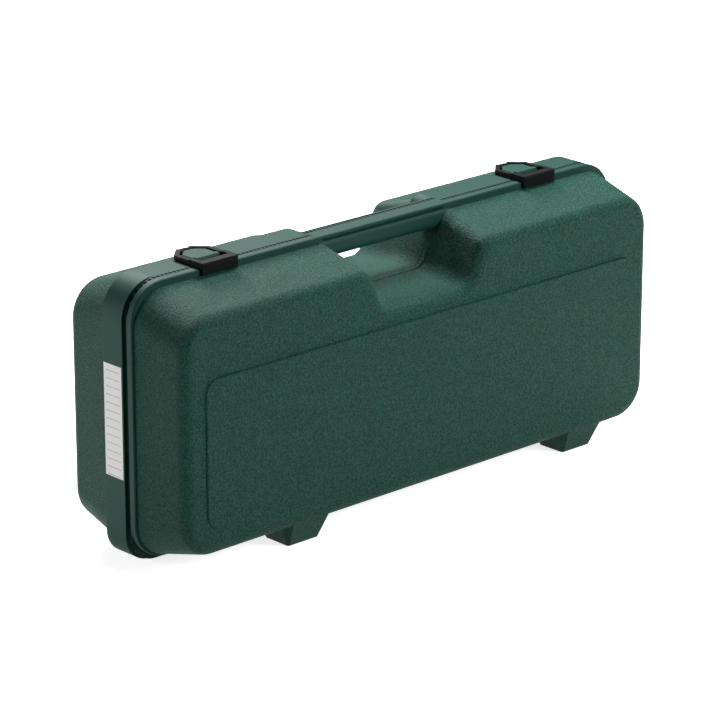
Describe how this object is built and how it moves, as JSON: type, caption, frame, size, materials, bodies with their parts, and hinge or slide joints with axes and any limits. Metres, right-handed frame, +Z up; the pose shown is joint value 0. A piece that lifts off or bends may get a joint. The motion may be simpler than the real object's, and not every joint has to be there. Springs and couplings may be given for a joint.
{
  "type": "angle grinder case",
  "caption": "Blow-moulded carrying case for a large angle grinder, with a hinged lid, snap latches and a grip set in a recess.",
  "frame": {"origin": "under the middle of the whole closed case, on the surface that its feet stand on", "axes": "+X along the case to the right as seen from the lid, +Y from the lid's front towards the base's back, +Z up towards the grip"},
  "size_m": [0.64, 0.1686, 0.287],
  "materials": {
    "shell_plastic": "dark green polyethylene, coarse spark grain on the bodies, smooth on rim, band and grip",
    "latch_plastic": "black, fine satin",
    "pin_steel": "bright drawn wire",
    "label_film": "white film"
  },
  "bodies": {
    "base": {"base_shell": "shell_plastic", "left_hinge_pin": "pin_steel", "middle_hinge_pin": "pin_steel", "right_hinge_pin": "pin_steel", "end_label": "label_film"},
    "lid": {"lid_shell": "shell_plastic"},
    "left_latch": {"left_latch": "latch_plastic"},
    "right_latch": {"right_latch": "latch_plastic"}
  },
  "joints": [
    {"name": "lid_hinge", "type": "hinge", "parent": "base", "child": "lid", "pos_m": [0, -0.00775, 0.0042], "axis": [1, 0, 0], "range_deg": [0, 180]},
    {"name": "left_latch_pivot", "type": "hinge", "parent": "base", "child": "left_latch", "pos_m": [-0.2135, 0.03025, 0.2832], "axis": [-1, 0, 0], "range_deg": [0, 110]},
    {"name": "right_latch_pivot", "type": "hinge", "parent": "base", "child": "right_latch", "pos_m": [0.2135, 0.03025, 0.2832], "axis": [-1, 0, 0], "range_deg": [0, 110]}
  ]
}
